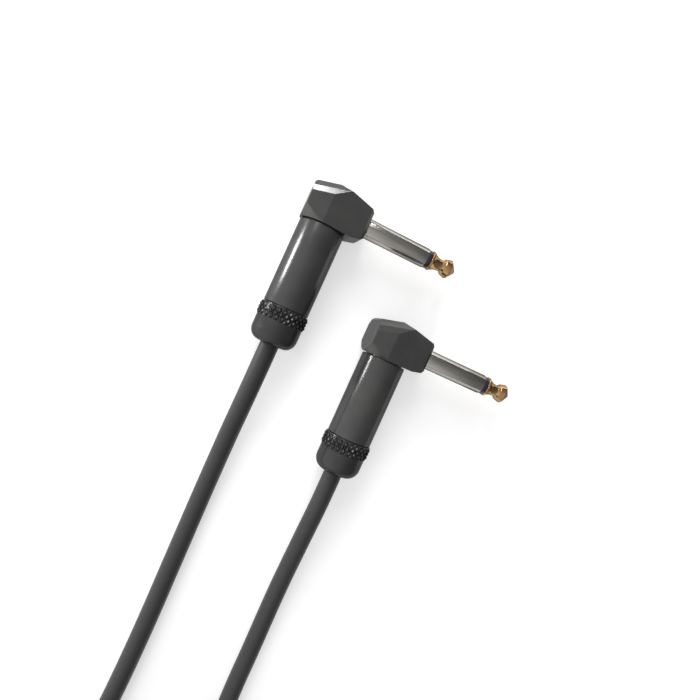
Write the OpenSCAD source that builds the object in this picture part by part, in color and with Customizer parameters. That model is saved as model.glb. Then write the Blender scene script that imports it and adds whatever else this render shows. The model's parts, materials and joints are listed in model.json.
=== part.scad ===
// Instrument cable: two right-angle 6.35 mm phone plugs on one screened cord.
// Millimetres, +Z up. The plugs lie flat with their shafts along +X and their barrels along -Y.
// The origin is under the middle of the box round both plugs, on the surface they lie on.

/* [Plug shaft] */
// Diameter of the shaft
shaft_d = 6.35; // [5.3:0.05:7.7]
// Sleeve contact, from the nose of the head to the insulating ring
sleeve_len = 21.4; // [17:0.1:26]
// Insulating ring between sleeve and tip
ring_len = 1.5; // [1:0.1:3]
// Tip contact, from the insulating ring to its point
tip_len = 9.15; // [7.6:0.05:11]
// Diameter of the rod that carries the tip through the sleeve
rod_d = 2.5; // [2:0.1:3]
// Wall of the insulating tube round the rod
tube_wall = 0.85; // [0.5:0.05:1]

/* [Head] */
// Wall of the nose round the collar of the sleeve
nose_wall = 1; // [0.8:0.1:2]
// Length of the nose beyond the side of the barrel
nose_len = 5.05; // [4.2:0.05:8]
// Taper of the nose faces, in degrees
nose_taper = 13; // [10:1:14]
// Taper of the nose along its roof, in degrees
roof_taper = 10.5; // [9:0.5:12]
// Height of the peak over the nose
peak_rise = 2.15; // [1.8:0.05:3]
// Slope of the roof that falls away from the shaft, in degrees
roof_slope = 15; // [10:1:18]
// Depth of the seam with the barrel below the nose
seam_drop = 0.75; // [0.6:0.05:1.5]
// Lip of the head beyond the side of the barrel
head_lip = 0.45; // [0.2:0.05:1]

/* [Barrel] */
// Bore of the barrel
barrel_bore_d = 10.8; // [9:0.1:13]
// Wall of the barrel
barrel_wall = 1.85; // [1.7:0.05:3]
// Length of the barrel between head and end cap
barrel_len = 26.9; // [24:0.1:40]
// Wall of the barrel round the spigot of the head
skirt_wall = 1.05; // [0.8:0.05:1.2]
// Depth that the spigot reaches into the barrel
spigot_len = 5; // [4:0.1:8]
// Width of the shadow groove between head and barrel
groove_w = 0.3; // [0.2:0.1:0.6]
// Wall of the threaded stub
stub_wall = 1; // [0.8:0.05:1.2]
// Length of the threaded stub
stub_len = 5.6; // [4.6:0.1:7]

/* [End cap] */
// Wall of the knurled ring outside the thread
knurl_wall = 1.47; // [1.2:0.01:2.5]
// Length of the knurled ring
knurl_len = 4.5; // [3.7:0.1:6]
// Grooves of the knurl, each way
knurl_count = 26; // [20:1:32]
// Depth of the knurl's grooves
knurl_depth = 0.55; // [0.3:0.05:0.7]
// Lean of the knurl's grooves from the barrel axis, in degrees
knurl_lean = 40; // [30:1:45]
// Step from the knurled ring down to the dome
dome_step = 0.55; // [0.4:0.05:0.9]
// Length of the dome
dome_len = 7.2; // [6:0.1:10]
// Length of the dome's rounded end
dome_round = 3.8; // [3:0.1:5]
// Width of the flat rim round the cord's hole
rim_w = 0.9; // [0.5:0.1:1.5]

/* [Cord] */
// Outer diameter of the cord
cord_d = 6; // [5:0.1:7.2]
// Diameter of the insulated core
core_d = 2; // [1.6:0.1:2.6]
// Diameter of the bare conductor
wire_d = 1; // [0.8:0.1:1.2]
// Gap between neighbouring turns of the coil
turn_gap = 0.5; // [0.45:0.05:1]
// Gap between layers of the coil
layer_gap = 0.6; // [0.5:0.05:1]

/* [Lay] */
// Second plug from the first, along the shafts
plug_step_x = 35; // [30:0.5:60]
// Second plug from the first, along the barrels
plug_step_y = 29; // [28:0.5:60]

/* [Clearance] */
// Radial clearance of the thread, which turns
thread_clear = 0.08; // [0.04:0.01:0.1]
// Radial clearance of parts that are pushed together and stay
fit_clear = 0.05; // [0.02:0.01:0.06]
// Gap between faces that turn or slide on each other
face_clear = 0.1; // [0.05:0.01:0.15]
// Radial clearance of the cord in the end cap
cord_clear = 0.3; // [0.2:0.05:0.5]

/* [Hidden] */
$fn = 64;

// Longer than any piece, for cuts that go right through
through = 60;
// How far a cut starts outside what it cuts
over = 1;

// Radii of the plug, from the inside out
shaft_r = shaft_d / 2;
rod_r = rod_d / 2;
tube_r = rod_r + fit_clear + tube_wall;
sleeve_bore_r = tube_r + fit_clear;
collar_step = 0.825;
collar_r = shaft_r + collar_step;
collar_bore_r = collar_r + fit_clear;
cord_r = cord_d / 2;
core_r = core_d / 2;
wire_r = wire_d / 2;
bore_r = barrel_bore_d / 2;
barrel_r = bore_r + barrel_wall;
spigot_bore_r = barrel_r - skirt_wall;
spigot_r = spigot_bore_r - fit_clear;
spigot_wall = 1;
cavity_r = spigot_r - spigot_wall;
thread_r = bore_r + stub_wall;
cap_bore_r = thread_r + thread_clear;
knurl_r = cap_bore_r + knurl_wall;
dome_r = knurl_r - dome_step;
cord_hole_r = cord_r + cord_clear;
rim_r = cord_hole_r + rim_w;
liner_r = bore_r - fit_clear;
liner_wall = 0.4;
liner_in_r = liner_r - liner_wall;
pocket_r = bore_r + face_clear;

// The head, about the crossing of shaft and barrel axes
nose_half = collar_bore_r + nose_wall;
nose_reach = barrel_r + nose_len;
nose_bevel = 0.9;
nose_lip = 0.7;
head_rise = nose_half + peak_rise;
head_drop = nose_half + seam_drop;
head_side = barrel_r + head_lip;
head_half_t = knurl_r;
bevel_x = nose_reach - nose_bevel;
peak_x = bevel_x - peak_rise / tan(roof_taper);
ridge_x = bevel_x - (head_half_t - nose_half) / tan(nose_taper);

// Places along the shaft, from the barrel axis
sleeve_end = nose_reach + sleeve_len;
ring_end = sleeve_end + ring_len;
tip_end = ring_end + tip_len;
lug_t = 0.5;
lug_w = 3;
lug_room = 0.45;
washer_t = 0.8;
nut_t = 1.6;
rod_proud = 0.3;
ground_face = liner_in_r - lug_room;
washer_face = ground_face - lug_t;
tip_lug_face = washer_face - washer_t;
nut_face = tip_lug_face - lug_t;
rod_start = nut_face - nut_t - rod_proud;

// Places down the barrel, from the shaft axis
barrel_start = head_drop + groove_w;
spigot_end = barrel_start + spigot_len;
barrel_end = barrel_start + barrel_len;
stub_end = barrel_end + stub_len;
cap_gap = 0.3;
cap_start = barrel_end + cap_gap;
knurl_end = cap_start + knurl_len;
cap_end = knurl_end + dome_len;
thread_room = 1;
thread_bore_end = stub_end + thread_room;
chuck_len = 11.4;
chuck_proud = 0.2;
chuck_end = thread_bore_end + chuck_proud;
chuck_start = chuck_end - chuck_len;
thrust_t = 1.4;
ring_front = chuck_end + face_clear;
ring_back = ring_front + thrust_t;
pocket_end = ring_back + face_clear;

// Stripped end of the cord, from the chuck back towards the head
clamp_len = 4;
clamp_gap = 1;
jacket_proud = 1.4;
clamp_start = chuck_start - clamp_len - clamp_gap;
jacket_start = clamp_start - jacket_proud;
core_len = 7.4;
core_start = jacket_start - core_len;
wire_len = 3.2;
wire_start = core_start - wire_len;

// The axis lies as high as the knurl holds it, and the head is as thick as the knurl
axis_h = knurl_r;
plug_a_x = -(tip_end + plug_step_x - max(knurl_r, head_side)) / 2;
plug_a_y = (cap_end + plug_step_y - head_rise) / 2;
plug_b_x = plug_a_x + plug_step_x;
plug_b_y = plug_a_y - plug_step_y;

// Coil: spirals in and out twice, in four layers
coil_x = -18;
coil_y = -209;
coil_r_out = 44.8;
coil_pitch = cord_d + turn_gap;
coil_layers = 4;
coil_layer_h = cord_d + layer_gap;
coil_start_angle = 150;
coil_end_angle = 30;
coil_whole_turns = 12;
coil_turns = coil_whole_turns + (coil_end_angle - coil_start_angle + 360) / 360;
loop_rings = 24;
coil_sides = 6;
run_sides = 10;
layer_turns = coil_turns / coil_layers;
climb_turns = 0.5;
coil_r_in = coil_r_out - coil_pitch * layer_turns;
tie_w = 16;
tie_t = 0.9;
tie_gap = 0.2;
coil_z = tie_t + tie_gap + cord_r;
coil_top = coil_z + (coil_layers - 1) * coil_layer_h + cord_r;

// Route of the cord from the first plug to the coil, after its straight start
run_a_points = [
    [-35.7, -25, 7.6], [-35.7, -33, 6.6], [-35.7, -41, 5.3], [-35.6, -49, 4.1],
    [-35.5, -57, 3.3], [-35.4, -65, 3], [-35.2, -78, 3], [-35, -91, 3],
    [-34.8, -104, 3], [-34.8, -118, 3], [-35, -130, 3], [-35.4, -139, 3.1],
    [-36.1, -146, 3.3], [-37.9, -152.7, 3.6], [-40.8, -159, 3.9], [-45, -166.1, 4.1]
];
// Route of the cord from the second plug to the coil, after its straight start
run_b_points = [
    [-0.7, -54, 7.6], [-0.7, -62, 6.6], [-0.6, -70, 5.3], [-0.5, -78, 4.1],
    [-0.4, -86, 3.3], [-0.3, -94, 3], [-0.2, -106, 3], [-0.2, -119, 3],
    [-0.2, -127, 4], [-0.2, -135, 6.6], [0, -143, 10.2], [1.4, -150.8, 14.3],
    [4.4, -158.2, 18.3], [8.3, -165.2, 21.5], [11.8, -171.2, 23.4]
];

// ---- Points of the cord ----

function unit(v) = v / norm(v);
function smooth(t) = let (c = min(1, max(0, t))) c * c * (3 - 2 * c);
function sum(v) = v * [for (x = v) 1];
function path_len(p) = sum([for (i = [1 : len(p) - 1]) norm(p[i] - p[i - 1])]);

// Radius of the spiral after t turns: in, out, in, out
function coil_r(t) = let (layer = floor(t / layer_turns), part = t / layer_turns - layer)
    coil_r_out - coil_pitch * layer_turns * (layer % 2 == 0 ? part : 1 - part);
// Height after t turns: a layer is climbed in the half turn where the spiral reverses
function coil_level(t) = coil_z
    + coil_layer_h * sum([for (i = [1 : coil_layers - 1])
        smooth((t - i * layer_turns) / climb_turns + 0.5)]);
function coil_point(t) = let (a = coil_start_angle + 360 * t)
    [coil_x + coil_r(t) * cos(a), coil_y + coil_r(t) * sin(a), coil_level(t)];

// The last point lies just short of the full count, where the spiral's radius would jump
coil_stop = coil_turns - 0.0001;
coil_rings = [for (i = [0 : round(coil_turns * loop_rings)])
    coil_point(min(i / loop_rings, coil_stop))];
coil_step = 0.002;
coil_in_dir = unit(coil_point(coil_step) - coil_point(0));
coil_out_dir = unit(coil_point(coil_stop) - coil_point(coil_stop - coil_step));
coil_lead_in = coil_point(0) - coil_in_dir * cord_d;
coil_lead_out = coil_point(coil_stop) + coil_out_dir * cord_d;
coil_points = concat([coil_lead_in], coil_rings, [coil_lead_out]);

// Each run leaves its cap straight for one diameter, and meets the coil's lead as straight
exit_a = [plug_a_x, plug_a_y - cap_end, axis_h];
exit_b = [plug_b_x, plug_b_y - cap_end, axis_h];
run_a_path = concat([exit_a, exit_a - [0, cord_d, 0]], run_a_points,
    [coil_lead_in - coil_in_dir * cord_d, coil_lead_in]);
run_b_path = concat([exit_b, exit_b - [0, cord_d, 0]], run_b_points,
    [coil_lead_out + coil_out_dir * cord_d, coil_lead_out]);

// Least gap of the coil to itself, between centre points half a turn or more apart
coil_gap = min([for (i = [0 : len(coil_points) - 1 - loop_rings / 2])
    min([for (j = [i + loop_rings / 2 : len(coil_points) - 1])
        norm(coil_points[i] - coil_points[j])])]) - cord_d;
echo(coil_self_gap_mm = coil_gap);
echo(cord_length_mm = path_len(run_a_path) + path_len(coil_points) + path_len(run_b_path));

// ---- A tube of flat sides along a list of points ----

function tangent(p, i) = let (n = len(p) - 1)
    i == 0 ? unit(p[1] - p[0])
    : i == n ? unit(p[n] - p[n - 1])
    : unit(unit(p[i + 1] - p[i]) + unit(p[i] - p[i - 1]));
function ring_points(p, i, r, sides) = let (
        t = tangent(p, i),
        u = unit(cross([0, 0, 1], t)),
        v = cross(t, u))
    [for (k = [0 : sides - 1]) let (a = 360 * (k + 0.5) / sides)
        p[i] + r * (u * cos(a) + v * sin(a))];

module tube(p, r, sides) {
    n = len(p);
    pts = [for (i = [0 : n - 1]) for (q = ring_points(p, i, r, sides)) q];
    walls = [for (i = [0 : n - 2]) for (k = [0 : sides - 1]) let (
            a = i * sides + k,
            b = i * sides + (k + 1) % sides,
            c = a + sides,
            d = b + sides)
        each [[a, c, b], [b, c, d]]];
    start_cap = [for (k = [1 : sides - 2]) [0, k, k + 1]];
    last = (n - 1) * sides;
    end_cap = [for (k = [1 : sides - 2]) [last, last + k + 1, last + k]];
    polyhedron(points = pts, faces = concat(walls, start_cap, end_cap), convexity = 10);
}

// ---- Helpers for round parts ----

// Turns a profile of [radius, place] points about the shaft, +X
module about_shaft(profile) {
    rotate([0, 90, 0]) rotate_extrude() polygon(profile);
}
// Turns a profile of [radius, place] points about the barrel axis, down -Y
module about_barrel(profile) {
    rotate([90, 0, 0]) rotate_extrude() polygon(profile);
}
module shaft_rod(r, from, to) {
    translate([from, 0, 0]) rotate([0, 90, 0]) cylinder(r = r, h = to - from);
}
module barrel_rod(r, from, to) {
    rotate([90, 0, 0]) translate([0, 0, from]) cylinder(r = r, h = to - from);
}
// A plain ring with square edges
module shaft_ring(r_in, r_out, from, to) {
    about_shaft([[r_in, from], [r_out, from], [r_out, to], [r_in, to]]);
}
module barrel_ring(r_in, r_out, from, to) {
    about_barrel([[r_in, from], [r_out, from], [r_out, to], [r_in, to]]);
}
// Points of an arc about a centre, in [radius, place] or [x, y]
function arc(c, rx, ry, from, to, steps) =
    [for (i = [0 : steps]) let (a = from + (to - from) * i / steps)
        [c[0] + rx * cos(a), c[1] + ry * sin(a)]];
// Mirrors a half outline across the x axis and joins the two
function both_sides(upper) = concat(upper,
    [for (i = [len(upper) - 1 : -1 : 0]) [upper[i][0], -upper[i][1]]]);

// ---- Pieces of one plug, about the crossing of shaft and barrel axes ----

// Plan of the head: flat side, roof, tapered nose with its end bevel
module head_plan() {
    corner = 0.6;
    side_top = head_rise - (head_side + peak_x) * tan(roof_slope);
    polygon([
        [-head_side, -head_drop],
        [-head_side, side_top - corner],
        [-head_side + corner, side_top + corner * tan(roof_slope)],
        [peak_x, head_rise],
        [bevel_x, nose_half],
        [nose_reach, nose_half - nose_bevel],
        [nose_reach, -nose_half + nose_bevel],
        [bevel_x, -nose_half],
        [bevel_x - seam_drop / tan(nose_taper), -head_drop]
    ]);
}

// Side view of the head: flat faces, a ridge, and the tapered nose
module head_side_view() {
    edge = 0.6;
    polygon(both_sides([
        [-head_side, head_half_t - edge],
        [-head_side + edge, head_half_t],
        [ridge_x, head_half_t],
        [bevel_x, nose_half],
        [nose_reach, nose_half - nose_bevel]
    ]));
}

// Two bevels along the roof, one shallow and one steep
module roof_bevels() {
    shallow_from = 3.75;
    steep_from = 1.9;
    shallow_depth = 0.95;
    steep_depth = 3;
    translate([peak_x, head_rise, 0])
        rotate([90, 0, 90 + roof_slope])
            linear_extrude(height = through * 2, center = true)
                polygon(both_sides([
                    [-through, head_half_t],
                    [-shallow_from, head_half_t],
                    [-steep_from, head_half_t - shallow_depth],
                    [0, head_half_t - steep_depth]
                ]));
}

// The seam end is chamfered round, as on a lathe, and the chamfer runs on under the nose
module seam_chamfer() {
    top = head_rise + over;
    wide = head_side + head_drop + top;
    about_barrel([[0, -top], [wide, -top], [head_side, head_drop], [0, head_drop]]);
    rotate([90, 0, 90])
        linear_extrude(height = nose_reach + over)
            polygon([[-head_drop, head_side], [top, wide], [top, -wide], [-head_drop, -head_side]]);
}

module head() {
    cavity_room = 0.2;
    cavity_top = collar_r + cavity_room;
    spigot_root = 1;
    color("#3c3d3e") difference() {
        union() {
            intersection() {
                linear_extrude(height = head_half_t * 2, center = true) head_plan();
                rotate([90, 0, 0]) linear_extrude(height = through, center = true) head_side_view();
                roof_bevels();
                seam_chamfer();
            }
            barrel_rod(spigot_r, head_drop - spigot_root, spigot_end);
        }
        barrel_rod(cavity_r, -cavity_top, spigot_end + over);
        shaft_rod(collar_bore_r, 0, nose_reach - nose_lip);
        shaft_rod(shaft_r + fit_clear, 0, nose_reach + over);
    }
}

// Sleeve contact: turned tube with the collar that holds it in the head, and a neck through the nose
module sleeve() {
    collar_end = nose_reach - nose_lip - fit_clear;
    edge = 0.3;
    neck_step = 0.25;
    neck_r = shaft_r - neck_step;
    color("#b9b6ae") about_shaft([
        [sleeve_bore_r, ground_face],
        [collar_r - edge, ground_face],
        [collar_r, ground_face + edge],
        [collar_r, collar_end],
        [neck_r, collar_end],
        [neck_r, nose_reach],
        [shaft_r, nose_reach],
        [shaft_r, sleeve_end],
        [sleeve_bore_r, sleeve_end]
    ]);
}

module tip_ring() {
    recess = 0.2;
    color("#2a2430") shaft_ring(rod_r + fit_clear, shaft_r - recess, sleeve_end, ring_end);
}

// Tip contact with its rod: thin collar, hollow curve to the waist, then the ball, which has
// a steep back, a long side with a slight taper, and a cone that ends in a blunt point
module tip_contact() {
    collar_recess = 0.03;
    collar_len = 0.7;
    ball_recess = 0.07;
    collar_r_out = shaft_r - collar_recess;
    collar_to = ring_end + collar_len;
    edge = 0.15;
    ball_r = shaft_r - ball_recess;
    ball_round = 0.5;
    back_angle = 48;
    side_angle = 15;
    side_len = 1.5;
    front_angle = 52;
    point_round = 1;
    waist_r = 1.9;
    waist_len = 0.35;
    ball_mid_r = ball_r - ball_round;
    ball_at = tip_end - point_round * (1 - sin(front_angle))
        - (ball_mid_r + (ball_round - point_round) * cos(front_angle)) / tan(front_angle)
        - ball_round * sin(front_angle);
    heel_mid_r = ball_mid_r - side_len * sin(side_angle);
    heel_at = ball_at - side_len * cos(side_angle);
    flare_at = heel_at - ball_round * sin(back_angle)
        - (heel_mid_r + ball_round * cos(back_angle) - waist_r) / tan(back_angle);
    waist_at = flare_at - waist_len;
    hollow_len = waist_at - collar_to;
    hollow_depth = collar_r_out - waist_r;
    hollow_r = (pow(hollow_len, 2) + pow(hollow_depth, 2)) / (2 * hollow_depth);
    hollow_from = 180 + atan2(hollow_len, hollow_r - hollow_depth);
    color("#c8964a") about_shaft(concat(
        [
            [0, rod_start],
            [rod_r, rod_start],
            [rod_r, ring_end],
            [collar_r_out - edge, ring_end],
            [collar_r_out, ring_end + edge]
        ],
        arc([waist_r + hollow_r, waist_at], hollow_r, hollow_r, hollow_from, 180, 6),
        [[waist_r, flare_at]],
        arc([heel_mid_r, heel_at], ball_round, ball_round, -back_angle, -side_angle, 3),
        arc([ball_mid_r, ball_at], ball_round, ball_round, -side_angle, front_angle, 6),
        arc([0, tip_end - point_round], point_round, point_round, front_angle, 90, 3)
    ));
}

module shaft_tube() {
    color("#e6e0d2") shaft_ring(rod_r + fit_clear, tube_r, washer_face, sleeve_end);
}

module rod_washer() {
    rim = 0.6;
    color("#6b4a32") shaft_ring(rod_r + fit_clear, collar_r - rim, tip_lug_face, washer_face);
}

// Tip lug: a bent brass strip from the rod to the conductor, with its solder hole
module tip_lug() {
    disc_r = rod_r + 1.35;
    bend_from = collar_r + 1.2;
    bend_to = bend_from + 3.2;
    bend_ease = 0.3;
    face_x = -wire_r;
    end_gap = 0.4;
    lug_end = core_start - end_gap;
    hole_r = 0.5;
    color("#c9a55c") difference() {
        union() {
            linear_extrude(height = lug_w, center = true) polygon([
                [nut_face, 0], [tip_lug_face, 0], [tip_lug_face, -bend_from],
                [face_x, -bend_to], [face_x, -lug_end], [face_x - lug_t, -lug_end],
                [face_x - lug_t, -bend_to + bend_ease], [nut_face, -bend_from + bend_ease]
            ]);
            shaft_rod(disc_r, nut_face, tip_lug_face);
        }
        shaft_rod(rod_r + fit_clear, nut_face - over, tip_lug_face + over);
        translate([0, -(wire_start + core_start) / 2, 0])
            shaft_rod(hole_r, face_x - lug_t - over, face_x + over);
    }
}

module rod_nut() {
    nut_wall = 1.25;
    color("#cfcac0") difference() {
        translate([nut_face - nut_t, 0, 0])
            rotate([0, 90, 0]) cylinder(r = rod_r + nut_wall, h = nut_t, $fn = 6);
        shaft_rod(rod_r + fit_clear, nut_face - nut_t - over, nut_face + over);
    }
}

// Ground lug: washer under the collar, strip down the barrel, and a saddle crimped on the jacket
module ground_lug() {
    saddle_r = cord_r + fit_clear;
    bend_from = jacket_start - 2.4;
    bend_to = jacket_start + 0.4;
    bend_ease = 0.2;
    disc_rim = 0.4;
    saddle_lap = 0.4;
    color("#cdb06a") difference() {
        union() {
            linear_extrude(height = lug_w, center = true) polygon([
                [washer_face, 0], [ground_face, 0], [ground_face, -bend_from],
                [saddle_r + lug_t, -bend_to], [saddle_r + lug_t, -clamp_start - over],
                [saddle_r, -clamp_start - over], [saddle_r, -bend_to + bend_ease],
                [washer_face, -bend_from + bend_ease]
            ]);
            shaft_rod(collar_r - disc_rim, washer_face, ground_face);
            intersection() {
                barrel_rod(saddle_r + lug_t, clamp_start, clamp_start + clamp_len);
                translate([-saddle_lap, -through, -through / 2]) cube(through);
            }
        }
        shaft_rod(sleeve_bore_r, washer_face - over, ground_face + over);
        barrel_rod(saddle_r, bend_to, clamp_start + clamp_len + over);
    }
}

// Barrel: plain tube, bored for the head's spigot, with the threaded stub for the cap
module barrel() {
    edge = 0.25;
    bore_from = spigot_end + face_clear;
    color("#4a4a4a") about_barrel([
        [spigot_bore_r, barrel_start],
        [barrel_r - edge, barrel_start],
        [barrel_r, barrel_start + edge],
        [barrel_r, barrel_end - edge],
        [barrel_r - edge, barrel_end],
        [thread_r, barrel_end],
        [thread_r, stub_end - edge],
        [thread_r - edge, stub_end],
        [bore_r, stub_end],
        [bore_r, bore_from],
        [spigot_bore_r, bore_from]
    ]);
}

module barrel_liner() {
    color("#8a6a44")
        barrel_ring(liner_in_r, liner_r, spigot_end + 2 * face_clear, chuck_start - face_clear);
}

// Cord chuck: a split plastic collet, its fingers tapered for the thrust ring
module cord_chuck() {
    r_in = cord_r + fit_clear;
    taper_len = 2.4;
    taper_depth = 0.9;
    slot_w = 1.2;
    slot_len = 8;
    color("#d9d4c4") difference() {
        about_barrel([
            [r_in, chuck_start],
            [liner_r, chuck_start],
            [liner_r, chuck_end - taper_len],
            [liner_r - taper_depth, chuck_end],
            [r_in, chuck_end]
        ]);
        for (a = [45, 135])
            rotate([0, a, 0])
                translate([-slot_w / 2, -chuck_end - over, -through / 2])
                    cube([slot_w, slot_len + over, through]);
    }
}

module thrust_ring() {
    color("#b8a878") barrel_ring(cord_hole_r, pocket_r - face_clear, ring_front, ring_back);
}

// Knurl: straight grooves round the ring, all leaning one way; two such sets leave diamonds
module knurl_grooves(lean) {
    land = 0.2;
    proud = 0.05;
    pitch = 2 * PI * knurl_r / knurl_count * cos(lean);
    spread = (pitch - land) / 2 / knurl_depth;
    top = knurl_depth + proud;
    run_out = 1.5;
    long = knurl_len / cos(lean) + 2 * run_out;
    translate([0, -(cap_start + knurl_end) / 2, 0])
        rotate([90, 0, 0])
            for (i = [0 : knurl_count - 1])
                rotate([0, 0, 360 * i / knurl_count])
                    translate([knurl_r - knurl_depth, 0, 0])
                        rotate([lean, 0, 0])
                            linear_extrude(height = long, center = true)
                                polygon([[0, 0], [top, -top * spread], [top, top * spread]]);
}

// End cap: knurled ring, smooth dome, threaded bore, and the pocket of the thrust ring
module end_cap() {
    edge = 0.35;
    color("#414141") difference() {
        about_barrel(concat(
            [
                [cap_bore_r, cap_start],
                [knurl_r - edge, cap_start],
                [knurl_r, cap_start + edge],
                [knurl_r, knurl_end - edge],
                [knurl_r - edge, knurl_end],
                [dome_r, knurl_end]
            ],
            arc([rim_r, cap_end - dome_round], dome_r - rim_r, dome_round, 0, 90, 10),
            [
                [cord_hole_r, cap_end],
                [cord_hole_r, pocket_end],
                [pocket_r, pocket_end],
                [pocket_r, thread_bore_end],
                [cap_bore_r, thread_bore_end]
            ]
        ));
        knurl_grooves(knurl_lean);
        knurl_grooves(-knurl_lean);
    }
}

// Jacket of the cord inside the plug, from its stripped end to the mouth of the cap
module cord_tail() {
    color("#353536") barrel_rod(cord_r, jacket_start, cap_end);
}

// Insulated core and its bare conductor, soldered to the tip lug
module core_wire() {
    color("#efe9da") union() {
        barrel_rod(core_r, core_start, jacket_start);
        barrel_rod(wire_r, wire_start, core_start + over);
    }
}

// Screen, twisted into a pigtail from the end of the jacket to the ground lug
module screen_pigtail() {
    r = 0.6;
    start_x = core_r + r + 0.3;
    end_x = washer_face - r;
    color("#b8763e") tube([
        [start_x, -jacket_start, 0.6],
        [start_x, -jacket_start + 1, 0.6],
        [start_x + 0.4, -jacket_start + 2.6, 0.5],
        [end_x, -jacket_start + 4.4, 0.2],
        [end_x, -jacket_start + 7, 0]
    ], r, 8);
}

// ---- Places of the two plugs ----

module at_a() {
    translate([plug_a_x, plug_a_y, axis_h]) children();
}
module at_b() {
    translate([plug_b_x, plug_b_y, axis_h]) children();
}

// ---- The cord between the plugs ----

module cord_run_a() {
    color("#38383a") tube(run_a_path, cord_r, run_sides);
}
module cord_run_b() {
    color("#38383a") tube(run_b_path, cord_r, run_sides);
}
module cord_coil() {
    color("#38383a") tube(coil_points, cord_r, coil_sides);
}

// Fabric tie: a flat band round the bundle, on the side away from the plugs
module coil_tie() {
    inner = sqrt(pow(coil_r_in - cord_r, 2) - pow(tie_w / 2, 2)) - tie_gap;
    outer = coil_r_out + cord_r + tie_gap;
    top = coil_top + tie_gap;
    corner = 3;
    centres = [
        [outer - corner, top - corner], [inner + corner, top - corner],
        [inner + corner, tie_t + corner], [outer - corner, tie_t + corner]
    ];
    color("#202022") translate([coil_x, coil_y, 0])
        rotate([90, 0, 270])
            linear_extrude(height = tie_w, center = true) difference() {
                polygon([for (i = [0 : 3])
                    each arc(centres[i], corner + tie_t, corner + tie_t, 90 * i, 90 * i + 90, 5)]);
                polygon([for (i = [0 : 3])
                    each arc(centres[i], corner, corner, 90 * i, 90 * i + 90, 5)]);
            }
}

at_a() head();  // head_a
at_a() sleeve();  // sleeve_a
at_a() tip_ring();  // tip_ring_a
at_a() tip_contact();  // tip_contact_a
at_a() shaft_tube();  // shaft_tube_a
at_a() rod_washer();  // rod_washer_a
at_a() tip_lug();  // tip_lug_a
at_a() rod_nut();  // rod_nut_a
at_a() ground_lug();  // ground_lug_a
at_a() barrel();  // barrel_a
at_a() barrel_liner();  // barrel_liner_a
at_a() cord_chuck();  // cord_chuck_a
at_a() thrust_ring();  // thrust_ring_a
at_a() end_cap();  // end_cap_a
at_a() cord_tail();  // cord_tail_a
at_a() core_wire();  // core_wire_a
at_a() screen_pigtail();  // screen_pigtail_a
at_b() head();  // head_b
at_b() sleeve();  // sleeve_b
at_b() tip_ring();  // tip_ring_b
at_b() tip_contact();  // tip_contact_b
at_b() shaft_tube();  // shaft_tube_b
at_b() rod_washer();  // rod_washer_b
at_b() tip_lug();  // tip_lug_b
at_b() rod_nut();  // rod_nut_b
at_b() ground_lug();  // ground_lug_b
at_b() barrel();  // barrel_b
at_b() barrel_liner();  // barrel_liner_b
at_b() cord_chuck();  // cord_chuck_b
at_b() thrust_ring();  // thrust_ring_b
at_b() end_cap();  // end_cap_b
at_b() cord_tail();  // cord_tail_b
at_b() core_wire();  // core_wire_b
at_b() screen_pigtail();  // screen_pigtail_b
cord_run_a();
cord_coil();
cord_run_b();
coil_tie();
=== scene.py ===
import json
import math

import bmesh
import bpy
from mathutils import Matrix, Vector


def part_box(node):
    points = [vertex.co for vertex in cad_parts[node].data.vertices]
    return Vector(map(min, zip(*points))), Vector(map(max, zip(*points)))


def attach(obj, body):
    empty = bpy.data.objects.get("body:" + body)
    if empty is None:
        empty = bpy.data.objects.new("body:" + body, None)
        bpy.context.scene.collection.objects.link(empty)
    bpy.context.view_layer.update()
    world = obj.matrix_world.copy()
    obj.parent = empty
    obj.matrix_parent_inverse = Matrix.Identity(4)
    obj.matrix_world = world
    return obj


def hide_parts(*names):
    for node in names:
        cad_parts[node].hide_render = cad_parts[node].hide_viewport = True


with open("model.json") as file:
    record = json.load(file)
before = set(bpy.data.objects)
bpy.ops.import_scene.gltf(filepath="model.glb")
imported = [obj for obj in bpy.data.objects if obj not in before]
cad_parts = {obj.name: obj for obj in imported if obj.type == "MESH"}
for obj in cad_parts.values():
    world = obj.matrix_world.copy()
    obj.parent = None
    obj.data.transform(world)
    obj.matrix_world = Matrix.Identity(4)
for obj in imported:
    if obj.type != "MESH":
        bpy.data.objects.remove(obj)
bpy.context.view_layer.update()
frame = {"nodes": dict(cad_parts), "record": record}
print("frame loaded,", len(frame["nodes"]), "nodes")

mm = 0.001                    # pieces are modelled in millimetres and brought to metres at the end
sides = ("a", "b")            # the two plugs
shaftWay = (1, 0, 0)          # towards the tip
barrelWay = (0, -1, 0)        # towards the cord
bpy.context.scene.view_settings.view_transform = "Standard"


def linear(hexColour):
    # an sRGB hex colour as the linear values that a shader takes
    channels = [int(hexColour[i:i + 2], 16) / 255 for i in (1, 3, 5)]
    return [c / 12.92 if c <= 0.04045 else ((c + 0.055) / 1.055) ** 2.4 for c in channels] + [1]


# Camera: nearly overhead, a little to the left of the middle

camera = {
    "place": (-47.1, -4.0, 175.6),     # mm
    "turn": (-4.65, -10.87, 24.73),    # degrees
    "lens": 28.0, "sensor": 36.0,      # mm
    "nearest": 10.0, "farthest": 20000.0,    # mm, the limits of what it sees
}


def placeCamera():
    data = bpy.data.cameras.new("camera")
    data.lens = camera["lens"]
    data.sensor_width = camera["sensor"]
    data.clip_start = camera["nearest"] * mm
    data.clip_end = camera["farthest"] * mm
    eye = bpy.data.objects.new("camera", data)
    eye.location = [v * mm for v in camera["place"]]
    eye.rotation_euler = [math.radians(v) for v in camera["turn"]]
    bpy.context.scene.collection.objects.link(eye)
    bpy.context.scene.camera = eye


placeCamera()
print("camera placed")


# Materials

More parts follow.
